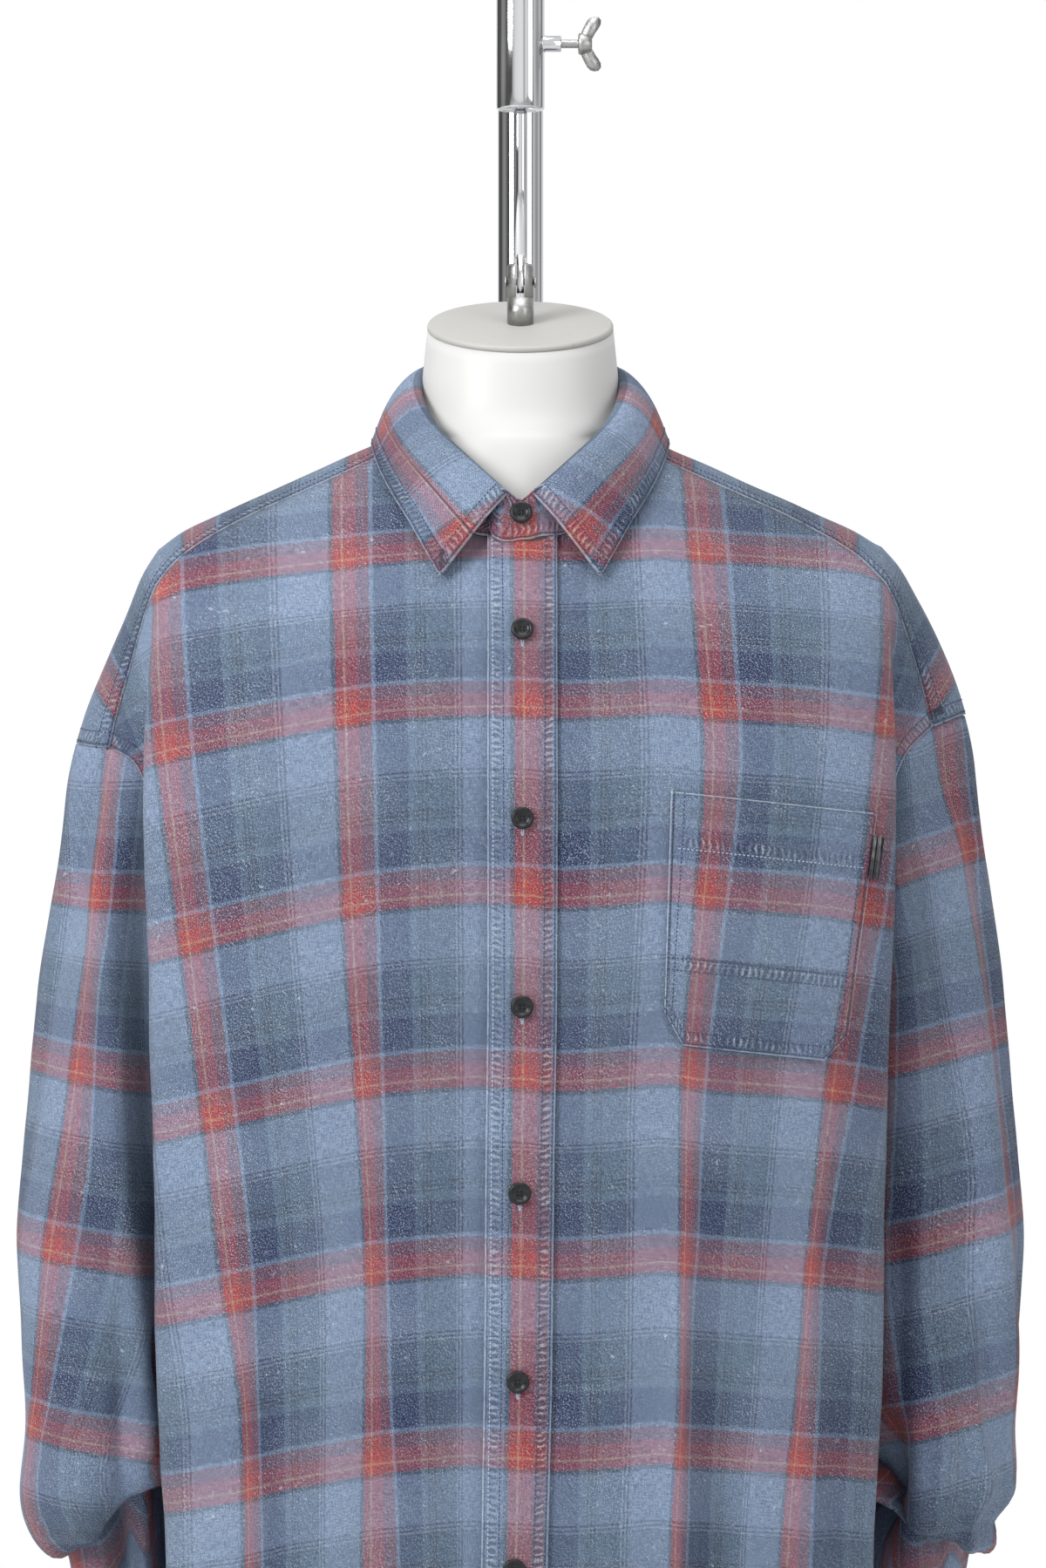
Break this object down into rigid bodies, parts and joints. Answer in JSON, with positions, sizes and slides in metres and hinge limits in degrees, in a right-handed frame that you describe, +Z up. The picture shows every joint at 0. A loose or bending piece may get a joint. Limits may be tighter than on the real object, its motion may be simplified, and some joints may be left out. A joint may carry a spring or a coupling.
{
  "type": "checked shirt on a limbless dress form with a stand",
  "caption": "Long-sleeved checked shirt with a chest pocket, buttoned over a limbless dress form that hangs from a gooseneck stand.",
  "frame": {"origin": "on the floor, at the underside of the base plate, straight under the garment's neck", "axes": "+Z up; the front faces -Y; +X is the wearer's left, where the pocket is"},
  "size_m": [0.5318, 0.4, 1.166],
  "materials": {
    "checked_cloth": "stone-washed cotton twill, woven check in blue, slate, red and pale blue",
    "black_button": "satin black resin",
    "dark_metal": "dark polished metal, plain",
    "white_form": "satin white",
    "neck_cap": "satin warm grey",
    "chrome": "polished chrome",
    "zinc": "bright zinc"
  },
  "bodies": {
    "stand": {"base_plate": "chrome", "stand_column": "chrome", "stand_bend": "chrome", "stand_head": "chrome"},
    "screw": {"wing_screw": "zinc"},
    "hanger_rod": {"rod": "chrome"},
    "form": {"dress_form": "white_form", "neck_cap": "neck_cap", "hanger_fork": "zinc", "fork_pin": "zinc", "front_left": "checked_cloth", "front_right": "checked_cloth", "back": "checked_cloth", "yoke": "checked_cloth", "sleeve_left": "checked_cloth", "sleeve_right": "checked_cloth", "cuff_left": "checked_cloth", "cuff_right": "checked_cloth", "collar_stand": "checked_cloth", "collar_fall": "checked_cloth", "placket": "checked_cloth", "pocket": "checked_cloth", "pocket_tab": "dark_metal", "button_1": "black_button", "button_2": "black_button", "button_3": "black_button", "button_4": "black_button", "button_5": "black_button", "button_6": "black_button", "button_7": "black_button", "cuff_button_left": "black_button", "cuff_button_right": "black_button"}
  },
  "joints": [
    {"name": "screw_turn", "type": "hinge", "parent": "stand", "child": "screw", "pos_m": [0, 0, 1.01], "axis": [1, 0, 0], "continuous": true},
    {"name": "rod_slide", "type": "slide", "parent": "stand", "child": "hanger_rod", "axis": [0, 0, 1], "range_m": [-0.01, 0.03]},
    {"name": "form_tilt", "type": "hinge", "parent": "hanger_rod", "child": "form", "pos_m": [0, 0, 0.8845], "axis": [1, 0, 0], "range_deg": [-8, 2]}
  ]
}
